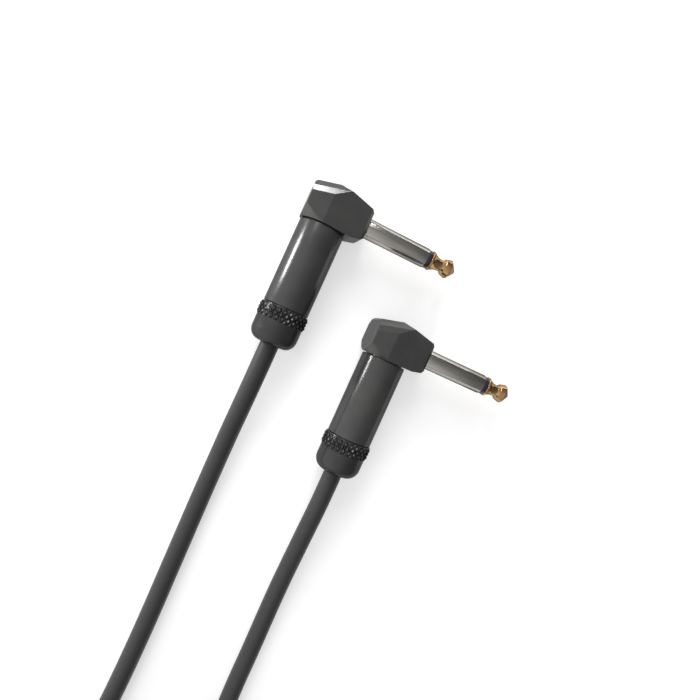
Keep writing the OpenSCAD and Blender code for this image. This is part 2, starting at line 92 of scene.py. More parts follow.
def newMaterial(name):
    material = bpy.data.materials.new(name)
    material.use_nodes = True
    material.node_tree.nodes.clear()
    return material


def addNode(material, kind, values=None, links=None):
    # one node with its settings and inputs; links gives an input the output that feeds it
    tree = material.node_tree
    node = tree.nodes.new(kind)
    for key, value in (values or {}).items():
        if isinstance(key, str) and hasattr(node, key) and key not in node.inputs:
            setattr(node, key, value)
        else:
            node.inputs[key].default_value = value
    for key, source in (links or {}).items():
        tree.links.new(source, node.inputs[key])
    return node


def perMm(size):
    # a texture scale, in waves or cells per metre, from a real size in millimetres
    return 1 / (size * mm)


# Aluminium, anodised and dyed dark grey: a satin, half metallic skin over a fine grain.
# The painted-shade attribute marks where shade is painted in, darkening the colour towards near black: in
# the roots of the knurl, and a little on the dome.
def satinAnodised(name, darkTone, paleTone):
    m = newMaterial(name)
    where = addNode(m, "ShaderNodeTexCoord").outputs["Object"]
    # the real grain is about 0.05 mm, drawn coarser so that it shows
    grain = addNode(m, "ShaderNodeTexNoise", {"Scale": perMm(0.3), "Detail": 3}, {"Vector": where})
    cloud = addNode(m, "ShaderNodeTexNoise", {"Scale": perMm(9), "Detail": 2}, {"Vector": where})
    tone = addNode(m, "ShaderNodeMapRange", {"From Min": 0.35, "From Max": 0.65},
                   {"Value": cloud.outputs["Fac"]})
    plain = addNode(m, "ShaderNodeMix", {"data_type": "RGBA", 6: linear(darkTone), 7: linear(paleTone)},
                    {0: tone.outputs["Result"]})
    # painted shade: where the attribute is set, the colour darkens towards the near black below
    paintedShadeMark = addNode(m, "ShaderNodeAttribute", {"attribute_name": "painted_shade"})
    deep = addNode(m, "ShaderNodeMapRange", {"From Min": 0.22, "From Max": 0.7},
                   {"Value": paintedShadeMark.outputs["Fac"]})
    colour = addNode(m, "ShaderNodeMix", {"data_type": "RGBA", 7: linear("#060606")},
                     {0: deep.outputs["Result"], 6: plain.outputs[2]})
    rough = addNode(m, "ShaderNodeMapRange",
                    {"From Min": 0.3, "From Max": 0.7, "To Min": 0.18, "To Max": 0.23},
                    {"Value": grain.outputs["Fac"]})
    bump = addNode(m, "ShaderNodeBump", {"Strength": 0.06, "Distance": 0.01 * mm},
                   {"Height": grain.outputs["Fac"]})
    shell = addNode(m, "ShaderNodeBsdfPrincipled", {"Metallic": 0.6, "Specular Tint": linear("#303030")},
                    {"Base Color": colour.outputs[2], "Roughness": rough.outputs["Result"],
                     "Normal": bump.outputs["Normal"]})
    addNode(m, "ShaderNodeOutputMaterial", {}, {"Surface": shell.outputs["BSDF"]})
    return m


# Brass, turned and nickel plated: a warm grey mirror that darkens towards its rims,
# with fine turning lines round the shaft
def turnedNickel():
    m = newMaterial("nickelPlatedBrass")
    where = addNode(m, "ShaderNodeTexCoord").outputs["Object"]
    # the real lines are about 0.03 mm apart, drawn coarser so that they show
    lines = addNode(m, "ShaderNodeTexWave",
                    {"wave_type": "BANDS", "bands_direction": "X", "Scale": perMm(0.8),
                     "Distortion": 1.5, "Detail": 2}, {"Vector": where})
    long = addNode(m, "ShaderNodeMapping", {"Scale": (0.15, 1, 1)}, {"Vector": where})
    smear = addNode(m, "ShaderNodeTexNoise", {"Scale": perMm(1.6), "Detail": 3},
                    {"Vector": long.outputs["Vector"]})
    tone = addNode(m, "ShaderNodeMapRange", {"From Min": 0.3, "From Max": 0.7},
                   {"Value": smear.outputs["Fac"]})
    colour = addNode(m, "ShaderNodeMix", {"data_type": "RGBA", 6: linear("#a29e97"), 7: linear("#bcb9b2")},
                     {0: tone.outputs["Result"]})
    rough = addNode(m, "ShaderNodeMapRange", {"To Min": 0.14, "To Max": 0.2},
                    {"Value": lines.outputs["Fac"]})
    bump = addNode(m, "ShaderNodeBump", {"Strength": 0.03, "Distance": 0.002 * mm},
                   {"Height": lines.outputs["Fac"]})
    plate = addNode(m, "ShaderNodeBsdfPrincipled", {"Metallic": 1.0, "Specular Tint": linear("#1c1b1a")},
                    {"Base Color": colour.outputs[2], "Roughness": rough.outputs["Result"],
                     "Normal": bump.outputs["Normal"]})
    addNode(m, "ShaderNodeOutputMaterial", {}, {"Surface": plate.outputs["BSDF"]})
    return m


# Brass, turned, polished and gold plated: a warm mirror with faint tool lines. Its rims go dark
# without turning orange, because the tint there is the gold's opposite.
def goldPlate():
    m = newMaterial("goldPlatedBrass")
    where = addNode(m, "ShaderNodeTexCoord").outputs["Object"]
    lines = addNode(m, "ShaderNodeTexWave",
                    {"wave_type": "BANDS", "bands_direction": "X", "Scale": perMm(0.7),
                     "Distortion": 0.8, "Detail": 2}, {"Vector": where})
    tint = addNode(m, "ShaderNodeTexNoise", {"Scale": perMm(2), "Detail": 2}, {"Vector": where})
    tone = addNode(m, "ShaderNodeMapRange", {"From Min": 0.3, "From Max": 0.7},
                   {"Value": tint.outputs["Fac"]})
    colour = addNode(m, "ShaderNodeMix", {"data_type": "RGBA", 6: linear("#a9855c"), 7: linear("#c6a075")},
                     {0: tone.outputs["Result"]})
    rough = addNode(m, "ShaderNodeMapRange", {"To Min": 0.05, "To Max": 0.08},
                    {"Value": lines.outputs["Fac"]})
    plate = addNode(m, "ShaderNodeBsdfPrincipled", {"Metallic": 1.0, "Specular Tint": linear("#7090a8")},
                    {"Base Color": colour.outputs[2], "Roughness": rough.outputs["Result"]})
    addNode(m, "ShaderNodeOutputMaterial", {}, {"Surface": plate.outputs["BSDF"]})
    return m


# A plain mottled finish for moulded, stamped or sawn stock: two tones, a grain and its roughness
def stockFinish(name, darkTone, paleTone, grainMm, roughness, metallic, bumpStrength):
    m = newMaterial(name)
    where = addNode(m, "ShaderNodeTexCoord").outputs["Object"]
    grain = addNode(m, "ShaderNodeTexNoise", {"Scale": perMm(grainMm), "Detail": 4},
                    {"Vector": where})
    tone = addNode(m, "ShaderNodeMapRange", {"From Min": 0.3, "From Max": 0.7},
                   {"Value": grain.outputs["Fac"]})
    colour = addNode(m, "ShaderNodeMix", {"data_type": "RGBA", 6: linear(darkTone), 7: linear(paleTone)},
                     {0: tone.outputs["Result"]})
    rough = addNode(m, "ShaderNodeMapRange", {"To Min": roughness - 0.05, "To Max": roughness + 0.05},
                    {"Value": grain.outputs["Fac"]})
    bump = addNode(m, "ShaderNodeBump", {"Strength": bumpStrength, "Distance": 0.03 * mm},
                   {"Height": grain.outputs["Fac"]})
    stock = addNode(m, "ShaderNodeBsdfPrincipled", {"Metallic": metallic},
                    {"Base Color": colour.outputs[2], "Roughness": rough.outputs["Result"],
                     "Normal": bump.outputs["Normal"]})
    addNode(m, "ShaderNodeOutputMaterial", {}, {"Surface": stock.outputs["BSDF"]})
    return m


# Nylon tape: a plain weave of dark threads, with a soft sheen
def wovenTape():
    m = newMaterial("wovenNylonTape")
    where = addNode(m, "ShaderNodeTexCoord").outputs["Object"]
    turned = addNode(m, "ShaderNodeMapping", {"Rotation": (math.radians(45), 0, 0)},
                     {"Vector": where})
    across = addNode(m, "ShaderNodeTexWave", {"wave_type": "BANDS", "bands_direction": "X",
                                              "Scale": perMm(5.5)}, {"Vector": where})
    along = addNode(m, "ShaderNodeTexWave", {"wave_type": "BANDS", "bands_direction": "Y",
                                             "Scale": perMm(4)}, {"Vector": turned.outputs["Vector"]})
    weave = addNode(m, "ShaderNodeMath", {"operation": "MULTIPLY"},
                    {0: across.outputs["Fac"], 1: along.outputs["Fac"]})
    colour = addNode(m, "ShaderNodeMix", {"data_type": "RGBA", 6: linear("#121213"), 7: linear("#2b2b2d")},
                     {0: weave.outputs["Value"]})
    bump = addNode(m, "ShaderNodeBump", {"Strength": 0.6, "Distance": 0.15 * mm},
                   {"Height": weave.outputs["Value"]})
    tape = addNode(m, "ShaderNodeBsdfPrincipled", {"Roughness": 0.85, "Sheen Weight": 0.25},
                   {"Base Color": colour.outputs[2], "Normal": bump.outputs["Normal"]})
    addNode(m, "ShaderNodeOutputMaterial", {}, {"Surface": tape.outputs["BSDF"]})
    return m


finish = {
    "shell": satinAnodised("turnedAnodisedAluminium", "#545454", "#5c5c5b"),
    # the same anodised shell a little paler for the head's milled flats: painted light, so that they read
    # brighter than the turned parts
    "shellPaintedLighter": satinAnodised("anodisedAluminiumPaintedLighter", "#5c5c5c", "#646463"),
    "nickel": turnedNickel(),
    "gold": goldPlate(),
    # acetal, turned: glossy and almost black, faintly violet
    "insulator": stockFinish("blackAcetal", "#1f1a22", "#302936", 0.8, 0.3, 0.0, 0.05),
    # nylon, moulded: off-white with a soft gloss
    "nylon": stockFinish("naturalNylon", "#d8d0bf", "#e6dfd0", 1.5, 0.45, 0.0, 0.1),
    # vulcanised fibre, punched: brown, dull and slightly hairy
    "fibre": stockFinish("vulcanisedFibre", "#5e4029", "#7a5637", 0.5, 0.7, 0.0, 0.4),
    # brass strip, punched and tinned: pale yellow, softly scratched
    "lug_brass": stockFinish("tinnedBrassStrip", "#bfa468", "#d3bc84", 0.6, 0.32, 1.0, 0.15),
    # flexible PVC, extruded: dull dark grey with a fine grain
    "jacket": stockFinish("darkPvcJacket", "#303030", "#3a3a3a", 0.6, 0.5, 0.0, 0.2),
    # polyethylene, extruded on the conductor: milky
    "core": stockFinish("milkyPolyethylene", "#e2dccd", "#f0ebdf", 1.0, 0.4, 0.0, 0.05),
    # bare copper strands, twisted
    "copper": stockFinish("bareCopper", "#a8643a", "#c9834f", 0.3, 0.3, 1.0, 0.5),
    "tie": wovenTape(),
}
print("materials made,", len(finish))


def wear(piece, slotName, look=None):
    # gives a piece the finish of its record slot, or another look where one is named
    piece.data.materials.clear()
    piece.data.materials.append(finish[look or slotName])


def span(nodeName):
    # a CAD node's lowest and highest corner in millimetres
    low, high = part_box(nodeName)
    return Vector(low) / mm, Vector(high) / mm


def crossing(side):
    # where the axes of a plug's shaft and barrel meet
    barrelLow, barrelHigh = span(f"barrel_{side}")
    sleeveLow, sleeveHigh = span(f"sleeve_{side}")
    middle = (barrelLow + barrelHigh) / 2
    return Vector((middle.x, (sleeveLow.y + sleeveHigh.y) / 2, middle.z))


# Workshop: every piece of a plug is modelled once about that crossing, in millimetres

workshop = {
    "weld": 0.0005,        # mm, closer vertices become one
    "latheSteps": 96,      # sides of a turned piece
    "smoothUnder": 40,     # degrees, flatter edges are shaded smooth
}


def startOutline(name, spots):
    # a new piece in edit mode that is one chain of vertices through the spots
    bpy.ops.object.select_all(action="DESELECT")
    bpy.ops.mesh.primitive_plane_add(size=1)
    piece = bpy.context.object
    piece.name = name
    bpy.ops.object.mode_set(mode="EDIT")
    bpy.ops.mesh.merge(type="CENTER")
    bpy.ops.transform.translate(value=spots[0])
    for last, spot in zip(spots, spots[1:]):
        bpy.ops.mesh.extrude_region_move(TRANSFORM_OT_translate={"value": spot - last})
    bpy.ops.mesh.select_all(action="SELECT")
    return piece


def turned(name, outline, way, steps=workshop["latheSteps"]):
    # lathe work: an outline of (radius, distance along the axis) points, spun into a closed solid
    spots = [Vector(way) * along + Vector((0, 0, radius)) for radius, along in outline]
    piece = startOutline(name, spots)
    bpy.ops.mesh.spin(steps=steps, angle=2 * math.pi, center=(0, 0, 0), axis=way)
    bpy.ops.mesh.select_all(action="SELECT")
    bpy.ops.mesh.remove_doubles(threshold=workshop["weld"])
    bpy.ops.mesh.normals_make_consistent(inside=False)
    bpy.ops.object.mode_set(mode="OBJECT")
    return piece


def arc(centreRadius, centreAlong, radiusWay, alongWay, start, end, steps):
    # points of an elliptical arc in an outline, angles in degrees from the radius to the axis
    points = []
    for i in range(steps + 1):
        angle = math.radians(start + (end - start) * i / steps)
        points.append((centreRadius + radiusWay * math.cos(angle),
                       centreAlong + alongWay * math.sin(angle)))
    return points


def pick(piece):
    bpy.ops.object.select_all(action="DESELECT")
    piece.select_set(True)
    bpy.context.view_layer.objects.active = piece


def softenEdges(piece, width, sharperThan=30, segments=2):
    # breaks the edges between faces that meet at more than an angle, and smooths the rest
    pick(piece)
    bevel = piece.modifiers.new("edges", "BEVEL")
    bevel.width = width
    bevel.segments = segments
    bevel.limit_method = "ANGLE"
    bevel.angle_limit = math.radians(sharperThan)
    bpy.ops.object.modifier_apply(modifier=bevel.name)
    bpy.ops.object.shade_smooth_by_angle(angle=math.radians(workshop["smoothUnder"]))


def joined(piece, *others):
    pick(piece)
    for other in others:
        other.select_set(True)
    bpy.ops.object.join()
    return piece


def fit(model, pieceName, nodeName, slotName, body=None, look=None):
    # a copy of the model with its own mesh on each plug, in place of the CAD node there
    for side in sides:
        piece = bpy.data.objects.new(f"{pieceName}_{side}", model.data.copy())
        piece.data.transform(Matrix.Translation(crossing(side) * mm) @ Matrix.Scale(mm, 4))
        bpy.context.scene.collection.objects.link(piece)
        wear(piece, slotName, look)
        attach(piece, f"{body}_{side}" if body else "cable")
        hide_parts(f"{nodeName}_{side}")
    bpy.data.objects.remove(model)


# Head: the flats of the solid, with the edges broken as on the machined part

head = {
    "edge": 0.16,              # mm, width of a broken edge
    "edgeSteps": 3,
    "sideChamfer": 0.65,       # mm, just past the chamfers of the closed side
    "sideSteeper": 0.35,       # mm, how much less far they reach here
    "nearFlat": 0.05,          # mm, how close to a flat a vertex of it is
    "weld": 0.003,             # mm
    "flatWithin": 1.0,         # degrees between triangles that are one flat
    "sharperThan": 10.5,       # degrees, from which an edge is broken
}


def makeHead():
    model = bpy.data.objects.new("head", frame["nodes"]["head_a"].data.copy())
    model.data.transform(Matrix.Scale(1 / mm, 4) @ Matrix.Translation(-crossing("a") * mm))
    bpy.context.scene.collection.objects.link(model)
    pick(model)
    bpy.ops.object.mode_set(mode="EDIT")
    bpy.ops.mesh.select_all(action="SELECT")
    bpy.ops.mesh.remove_doubles(threshold=head["weld"])
    bpy.ops.mesh.dissolve_limited(angle_limit=math.radians(head["flatWithin"]))
    # the chamfers of the closed side are steeper than 45 degrees: their edges on the flats move out
    mesh = bmesh.from_edit_mesh(model.data)
    outermost = min(vert.co.x for vert in mesh.verts)
    flat = max(vert.co.z for vert in mesh.verts)
    for vert in mesh.verts:
        onFlat = abs(vert.co.z) > flat - head["nearFlat"]
        vert.select_set(onFlat and vert.co.x < outermost + head["sideChamfer"])
    mesh.select_flush_mode()
    bmesh.update_edit_mesh(model.data)
    bpy.ops.transform.translate(value=(-head["sideSteeper"], 0, 0))
    bpy.ops.object.mode_set(mode="OBJECT")
    softenEdges(model, head["edge"], head["sharperThan"], head["edgeSteps"])
    even = model.modifiers.new("even", "WEIGHTED_NORMAL")
    even.keep_sharp = False
    bpy.ops.object.modifier_apply(modifier=even.name)
    # the head wears the paler copy of the shell: painted light on its flats
    fit(model, "headShell", "head", "shell", look="shellPaintedLighter")


makeHead()
print("heads made")


# Barrel: a plain tube, its end turned down to a stub with a real thread

barrel = {
    "skirtBore": 6.2, "skirtLength": 5.1, "bore": 5.4,       # mm, radii and length inside
    "stubLength": 5.6, "edge": 0.25, "softening": 0.08,
    "threadRoot": 5.95, "threadCrest": 6.4, "threadPitch": 1.0, "threadTurns": 4.4,
    "threadFrom": 0.7,                                       # from the shoulder to the first turn
    "ridgeFoot": 0.42, "ridgeTop": 0.08,                     # half widths of the thread's ridge
    "ridgeSunk": 0.05,                                       # how deep its foot sits in the stub
    "stepsPerTurn": 48, "smoothUnder": 30,                   # sides, and degrees
    "closeUp": 0.2,                                          # narrows the joint with the cap
}


def makeBarrel():
    place = crossing("a")
    low, high = span("barrel_a")
    radius = (high.x - low.x) / 2
    start, end = place.y - high.y, place.y - low.y
    shoulder = end - barrel["stubLength"] + barrel["closeUp"]
    edge = barrel["edge"]
    skirtEnd = start + barrel["skirtLength"]
    tube = turned("barrel", [
        (barrel["skirtBore"], start), (radius - edge, start), (radius, start + edge),
        (radius, shoulder - edge), (radius - edge, shoulder), (barrel["threadRoot"], shoulder),
        (barrel["threadRoot"], end - edge), (barrel["threadRoot"] - edge, end), (barrel["bore"], end),
        (barrel["bore"], skirtEnd), (barrel["skirtBore"], skirtEnd), (barrel["skirtBore"], start),
    ], barrelWay)
    softenEdges(tube, barrel["softening"])
    first = shoulder + barrel["threadFrom"]
    foot, crest = barrel["threadRoot"] - barrel["ridgeSunk"], barrel["threadCrest"]
    ridge = startOutline("thread", [Vector((0, -along, radius)) for radius, along in (
        (foot, first - barrel["ridgeFoot"]), (crest, first - barrel["ridgeTop"]),
        (crest, first + barrel["ridgeTop"]), (foot, first + barrel["ridgeFoot"]),
        (foot, first - barrel["ridgeFoot"]))])
    bpy.ops.mesh.remove_doubles(threshold=workshop["weld"])
    bpy.ops.object.mode_set(mode="OBJECT")
    coil = ridge.modifiers.new("thread", "SCREW")
    coil.axis = "Y"
    coil.angle = -2 * math.pi * barrel["threadTurns"]
    coil.screw_offset = -barrel["threadPitch"] * barrel["threadTurns"]
    coil.steps = coil.render_steps = round(barrel["stepsPerTurn"] * barrel["threadTurns"])
    coil.use_smooth_shade = False
    bpy.ops.object.modifier_apply(modifier=coil.name)
    bpy.ops.object.mode_set(mode="EDIT")
    bpy.ops.mesh.select_all(action="DESELECT")
    bpy.ops.mesh.select_non_manifold()
    bpy.ops.mesh.edge_face_add()
    bpy.ops.mesh.select_all(action="SELECT")
    bpy.ops.mesh.normals_make_consistent(inside=False)
    bpy.ops.object.mode_set(mode="OBJECT")
    bpy.ops.object.shade_smooth_by_angle(angle=math.radians(barrel["smoothUnder"]))
    fit(joined(tube, ridge), "barrelTube", "barrel", "shell")


makeBarrel()
print("barrels made")


# End cap: diamond knurl, smooth dome, and the pocket of the thrust ring inside

cap = {
    "threadBore": 6.48, "threadBoreEnd": 39.6,     # mm, radii, and ends from the shaft's axis
    "pocket": 5.5, "pocketEnd": 41.4, "cordHole": 3.3, "rim": 4.2,
    "dome": 7.4, "domeRound": 3.8, "domeSteps": 20,
    "domeStep": 0.04,                              # along the axis, from the body up to the dome
    "domePaintedShade": 0.36, "domeNear": 0.05,             # how strong the painted shade is, and how far before the dome it starts
    "latheSteps": 104, "softening": 0.1,           # four sides for each diamond of the knurl
}
knurl = {
    "length": 4.5, "depth": 0.55, "margin": 0.1,   # mm, the margin is plain at both ends
    "count": 26, "rows": 2,                        # diamonds round the cap and along it
    "rootSunk": 0.02,                              # how deep the roots sit in the cap's body
    "pointOver": 0.03,                             # a point is this much higher than the depth
    "endHeight": 0.6,                              # of the half diamonds, as a share of the depth
    "flat": 0.13,                                  # how far down its edges a point is cut off
    "near": 0.01, "atRoot": 0.02,                  # how close counts as level, and as at the root
    "overRoot": 0.2, "paintedShadeTo": 0.1,                # heights where points start and where the painted shade of the roots ends
    "innerScale": 0.93,                            # of the wall inside
}


def markPaintedShade(piece, shadeAt):
    # how strong the painted shade is at each vertex, from 0 to 1
    painted_shade = piece.data.attributes.new("painted_shade", "FLOAT", "POINT")
    for vert, value in zip(piece.data.vertices, painted_shade.data):
        value.value = shadeAt(vert.co)


def makeKnurl(start, radius):
    root = radius - knurl["depth"]
    rowHeight = (knurl["length"] - 2 * knurl["margin"]) / knurl["rows"]
    bpy.ops.object.select_all(action="DESELECT")
    bpy.ops.mesh.primitive_circle_add(vertices=knurl["count"], radius=root,
                                      rotation=(math.radians(90), 0, 0),
                                      location=(0, -start - knurl["margin"], 0))
    ring = bpy.context.object
    ring.name = "knurl"
    bpy.ops.object.transform_apply(location=True, rotation=True, scale=True)
    bpy.ops.object.mode_set(mode="EDIT")
    bpy.ops.mesh.select_all(action="SELECT")
    for row in range(knurl["rows"]):
        bpy.ops.mesh.extrude_region_move(TRANSFORM_OT_translate={"value": (0, -rowHeight, 0)})
    bpy.ops.mesh.select_all(action="SELECT")
    bpy.ops.mesh.poke()
    # the square grid's own edges go, and diamonds are left
    mesh = bmesh.from_edit_mesh(ring.data)
    for edge in mesh.edges:
        run = edge.verts[1].co - edge.verts[0].co
        alongGrid = abs(run.y) < knurl["near"] or abs(run.y) > rowHeight - knurl["near"]
        edge.select_set(alongGrid and not edge.is_boundary)
    bmesh.update_edit_mesh(ring.data)
    bpy.ops.mesh.dissolve_edges(use_verts=False)
    # whole diamonds rise to a point, and the halves at both ends stay lower
    whole, halved = knurl["depth"] + knurl["pointOver"], knurl["depth"] * knurl["endHeight"]
    for corners, height in ((4, whole), (3, halved)):
        mesh = bmesh.from_edit_mesh(ring.data)
        for face in mesh.faces:
            face.select_set(False)
        for face in mesh.faces:
            middle = face.calc_center_median()
            atRoot = all(math.hypot(v.co.x, v.co.z) < root + knurl["atRoot"] for v in face.verts)
            face.select_set(atRoot and len(face.verts) == corners)
            if face.normal.dot(Vector((middle.x, 0, middle.z))) < 0:
                face.normal_flip()
        bmesh.update_edit_mesh(ring.data)
        bpy.ops.mesh.poke(offset=height)
    bpy.ops.mesh.select_all(action="DESELECT")
    mesh = bmesh.from_edit_mesh(ring.data)
    for vert in mesh.verts:
        vert.select_set(math.hypot(vert.co.x, vert.co.z) > root + knurl["overRoot"])
    mesh.select_flush_mode()
    bmesh.update_edit_mesh(ring.data)
    bpy.ops.mesh.bevel(offset=knurl["flat"], affect="VERTICES")
    # inner wall, sunk in the cap's body
    bpy.ops.mesh.select_all(action="DESELECT")
    bpy.ops.mesh.select_non_manifold()
    bpy.ops.mesh.extrude_region_move()
    inner = knurl["innerScale"]
    bpy.ops.transform.resize(value=(inner, 1, inner), center_override=(0, 0, 0))
    bpy.ops.mesh.bridge_edge_loops()
    bpy.ops.mesh.select_all(action="SELECT")
    bpy.ops.mesh.normals_make_consistent(inside=False)
    bpy.ops.object.mode_set(mode="OBJECT")
    # painted shade in the roots of the knurl, where the recesses lie in shade
    markPaintedShade(ring, lambda spot: 1.0 if math.hypot(spot.x, spot.z) < root + knurl["paintedShadeTo"] else 0.0)
    return ring


def makeCap():
    place = crossing("a")
    low, high = span("end_cap_a")
    radius = (high.z - low.z) / 2
    start, end = place.y - high.y, place.y - low.y
    knurlEnd = start + knurl["length"]
    body = radius - knurl["depth"] + knurl["rootSunk"]
    shell = turned("cap", [
        (cap["threadBore"], start), (body, start), (body, knurlEnd - cap["domeStep"]),
        (cap["dome"], knurlEnd),
        *arc(cap["rim"], end - cap["domeRound"], cap["dome"] - cap["rim"], cap["domeRound"],
             0, 90, cap["domeSteps"]),
        (cap["cordHole"], end), (cap["cordHole"], cap["pocketEnd"]), (cap["pocket"], cap["pocketEnd"]),
        (cap["pocket"], cap["threadBoreEnd"]), (cap["threadBore"], cap["threadBoreEnd"]),
        (cap["threadBore"], start),
    ], barrelWay, cap["latheSteps"])
    softenEdges(shell, cap["softening"])
    # painted shade on the dome, which darkens it a little
    markPaintedShade(shell, lambda spot: cap["domePaintedShade"] if spot.y < cap["domeNear"] - knurlEnd else 0.0)
    fit(joined(shell, makeKnurl(start, radius)), "capShell", "end_cap", "shell", "cap")


makeCap()
print("end caps made")


# Shaft: sleeve, insulating ring, and the tip on its rod

shaft = {
    "radius": 3.175, "collar": 4.0, "bore": 2.2,       # mm, radii
    "neck": 2.925, "rod": 1.25,
    "collarEnd": 11.55, "neckEnd": 12.3,               # from the barrel's axis
    "collarEdge": 0.3, "sleeveSoftening": 0.12,
    "ringRecess": 0.2, "ringRoom": 0.05, "ringSoftening": 0.06,
}


def makeSleeve():
    place = crossing("a")
    low, high = span("sleeve_a")
    start, end = low.x - place.x, high.x - place.x
    edge = shaft["collarEdge"]
    sleeve = turned("sleeve", [
        (shaft["bore"], start), (shaft["collar"] - edge, start), (shaft["collar"], start + edge),
        (shaft["collar"], shaft["collarEnd"]), (shaft["neck"], shaft["collarEnd"]),
        (shaft["neck"], shaft["neckEnd"]), (shaft["radius"], shaft["neckEnd"]),
        (shaft["radius"], end), (shaft["bore"], end), (shaft["bore"], start),
    ], shaftWay)
    softenEdges(sleeve, shaft["sleeveSoftening"])
    fit(sleeve, "sleeveTube", "sleeve", "nickel")


def makeRing():
    place = crossing("a")
    low, high = span("tip_ring_a")
    start, end = low.x - place.x, high.x - place.x
    inner, outer = shaft["rod"] + shaft["ringRoom"], shaft["radius"] - shaft["ringRecess"]
    ring = turned("ring", [
        (inner, start), (outer, start), (outer, end), (inner, end), (inner, start),
    ], shaftWay)
    softenEdges(ring, shaft["ringSoftening"])
    fit(ring, "insulatingRing", "tip_ring", "insulator")


tip = {
    "collar": 3.145, "collarLength": 0.7, "collarEdge": 0.15,    # mm
    "waist": 1.9, "waistLength": 0.35,
    "ball": 3.105, "ballRound": 0.5, "backAngle": 48, "frontAngle": 52,
    "sideAngle": 15, "sideLength": 1.5,                          # the ball's slightly tapered side
    "pointRound": 1.0,
    "rodEdge": 0.2, "softening": 0.05,
    "hollowSteps": 16, "heelSteps": 6, "ballSteps": 12, "pointSteps": 8,
}


def makeTip():
    place = crossing("a")
    low, high = span("tip_contact_a")
    rodStart, point = low.x - place.x, high.x - place.x
    ringEnd = span("tip_ring_a")[1].x - place.x
    back, front = math.radians(tip["backAngle"]), math.radians(tip["frontAngle"])
    taper = math.radians(tip["sideAngle"])
    ballMiddle = tip["ball"] - tip["ballRound"]
    ballAt = (point - tip["pointRound"] * (1 - math.sin(front))
              - (ballMiddle + (tip["ballRound"] - tip["pointRound"]) * math.cos(front)) / math.tan(front)
              - tip["ballRound"] * math.sin(front))
    heelMiddle = ballMiddle - tip["sideLength"] * math.sin(taper)
    heelAt = ballAt - tip["sideLength"] * math.cos(taper)
    flareAt = (heelAt - tip["ballRound"] * math.sin(back)
               - (heelMiddle + tip["ballRound"] * math.cos(back) - tip["waist"]) / math.tan(back))
    waistAt = flareAt - tip["waistLength"]
    collarTo = ringEnd + tip["collarLength"]
    hollowLength, hollowDepth = waistAt - collarTo, tip["collar"] - tip["waist"]
    hollow = (hollowLength ** 2 + hollowDepth ** 2) / (2 * hollowDepth)
    hollowFrom = 180 + math.degrees(math.atan2(hollowLength, hollow - hollowDepth))
    ballRound, pointRound, rodEdge = tip["ballRound"], tip["pointRound"], tip["rodEdge"]
    contact = turned("tip", [
        (0, rodStart), (shaft["rod"] - rodEdge, rodStart), (shaft["rod"], rodStart + rodEdge),
        (shaft["rod"], ringEnd), (tip["collar"] - tip["collarEdge"], ringEnd),
        (tip["collar"], ringEnd + tip["collarEdge"]),
        *arc(tip["waist"] + hollow, waistAt, hollow, hollow, hollowFrom, 180, tip["hollowSteps"]),
        (tip["waist"], flareAt),
        *arc(heelMiddle, heelAt, ballRound, ballRound,
             -tip["backAngle"], -tip["sideAngle"], tip["heelSteps"]),
        *arc(ballMiddle, ballAt, ballRound, ballRound,
             -tip["sideAngle"], tip["frontAngle"], tip["ballSteps"]),
        *arc(0, point - pointRound, pointRound, pointRound, tip["frontAngle"], 90, tip["pointSteps"]),
    ], shaftWay)
    softenEdges(contact, tip["softening"])
    fit(contact, "tipContact", "tip_contact", "gold")


makeSleeve()
makeRing()
makeTip()
print("shafts made")


# Cord: one length from the first cap through the coil to the second cap

cord = {
    "diameter": 6.0,               # mm, as all the sizes here
    "length": 3122.8,              # with the ends inside the plugs
    "centre": (-18.0, -209.0),     # of the coil
    "outerRadius": 44.8,
    "turnPitch": 6.5,
    "layers": 4,
    "layerPitch": 6.6,
    "startAngle": 150.0,
    "endAngle": 30.0,
    "wholeTurns": 12,
    "pointsPerTurn": 24,
    "lowestLayer": 4.1,
    "climb": 0.5,                  # turns that the climb to the next layer takes
    "profileSteps": 6,             # gives its section 16 sides
    "spanSteps": 4,                # between two points of the route
}
firstRun = [
    (-35.7, -25, 7.6), (-35.7, -33, 6.6), (-35.7, -41, 5.3), (-35.6, -49, 4.1),
    (-35.5, -57, 3.3), (-35.4, -65, 3), (-35.2, -78, 3), (-35, -91, 3),
    (-34.8, -104, 3), (-34.8, -118, 3), (-35, -130, 3), (-35.4, -139, 3.1),
    (-36.1, -146, 3.3), (-37.9, -152.7, 3.6), (-40.8, -159, 3.9), (-45, -166.1, 4.1),
]
secondRun = [
    (-0.7, -54, 7.6), (-0.7, -62, 6.6), (-0.6, -70, 5.3), (-0.5, -78, 4.1),
    (-0.4, -86, 3.3), (-0.3, -94, 3), (-0.2, -106, 3), (-0.2, -119, 3),
    (-0.2, -127, 4), (-0.2, -135, 6.6), (0, -143, 10.2), (1.4, -150.8, 14.3),
    (4.4, -158.2, 18.3), (8.3, -165.2, 21.5), (11.8, -171.2, 23.4),
]


def coilPoint(turn, turns):
    # spirals in and out again, and climbs a layer in the half turn where it reverses
    layerTurns = turns / cord["layers"]
    layer = min(int(turn / layerTurns), cord["layers"] - 1)
    part = turn / layerTurns - layer
    inward = part if layer % 2 == 0 else 1 - part
    radius = cord["outerRadius"] - cord["turnPitch"] * layerTurns * inward
    height = cord["lowestLayer"]
    for i in range(1, cord["layers"]):
        t = min(1, max(0, (turn - i * layerTurns) / cord["climb"] + 0.5))
        height += cord["layerPitch"] * t * t * (3 - 2 * t)
    angle = math.radians(cord["startAngle"] + 360 * turn)
    x, y = cord["centre"]
    return Vector((x + radius * math.cos(angle), y + radius * math.sin(angle), height))


